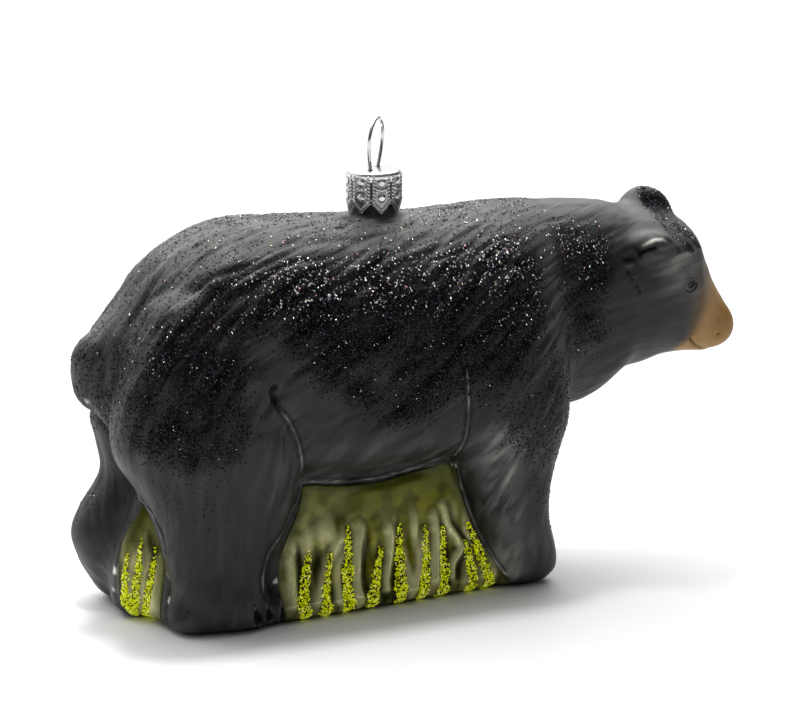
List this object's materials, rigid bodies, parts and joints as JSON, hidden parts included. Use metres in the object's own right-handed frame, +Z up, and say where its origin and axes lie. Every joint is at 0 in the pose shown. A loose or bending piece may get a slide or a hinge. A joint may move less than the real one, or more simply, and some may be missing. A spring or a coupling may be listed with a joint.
{
  "type": "glass bear christmas ornament",
  "caption": "Mould-blown glass hanging ornament shaped as a black bear standing in grass, with glitter on its fur, a pressed metal crown cap and a spring wire hanger loop.",
  "frame": {"origin": "on the surface that the feet stand on, under the middle of the part's box", "axes": "+X towards the bear's nose, +Y to the bear's left, +Z up along the blowing neck"},
  "size_m": [0.1338, 0.0436, 0.0924],
  "materials": {
    "black_lacquer": "semi-matte black lacquer over silvered glass, with black glitter",
    "tan_lacquer": "tan lacquer, airbrushed into the black",
    "grass_green_glass": "glossy clear olive lacquer over silvered glass, with lime glitter blades",
    "silvered_tin": "pressed and silvered",
    "steel_wire": "bright drawn wire"
  },
  "bodies": {
    "glass": {"ear_right": "black_lacquer", "ear_left": "black_lacquer", "eye_right": "black_lacquer", "eye_left": "black_lacquer", "muzzle": "tan_lacquer", "head": "black_lacquer", "neck": "black_lacquer", "tail": "black_lacquer", "leg_hind_right": "black_lacquer", "leg_hind_left": "black_lacquer", "leg_fore_right": "black_lacquer", "leg_fore_left": "black_lacquer", "grass": "grass_green_glass", "trunk": "black_lacquer"},
    "cap": {"cap_crown": "silvered_tin", "hanger_wire": "steel_wire"}
  },
  "joints": [
    {"name": "cap_turn", "type": "hinge", "parent": "glass", "child": "cap", "pos_m": [-0.0067, 0.00014, 0.0787], "axis": [0, 0, 1], "continuous": true}
  ]
}
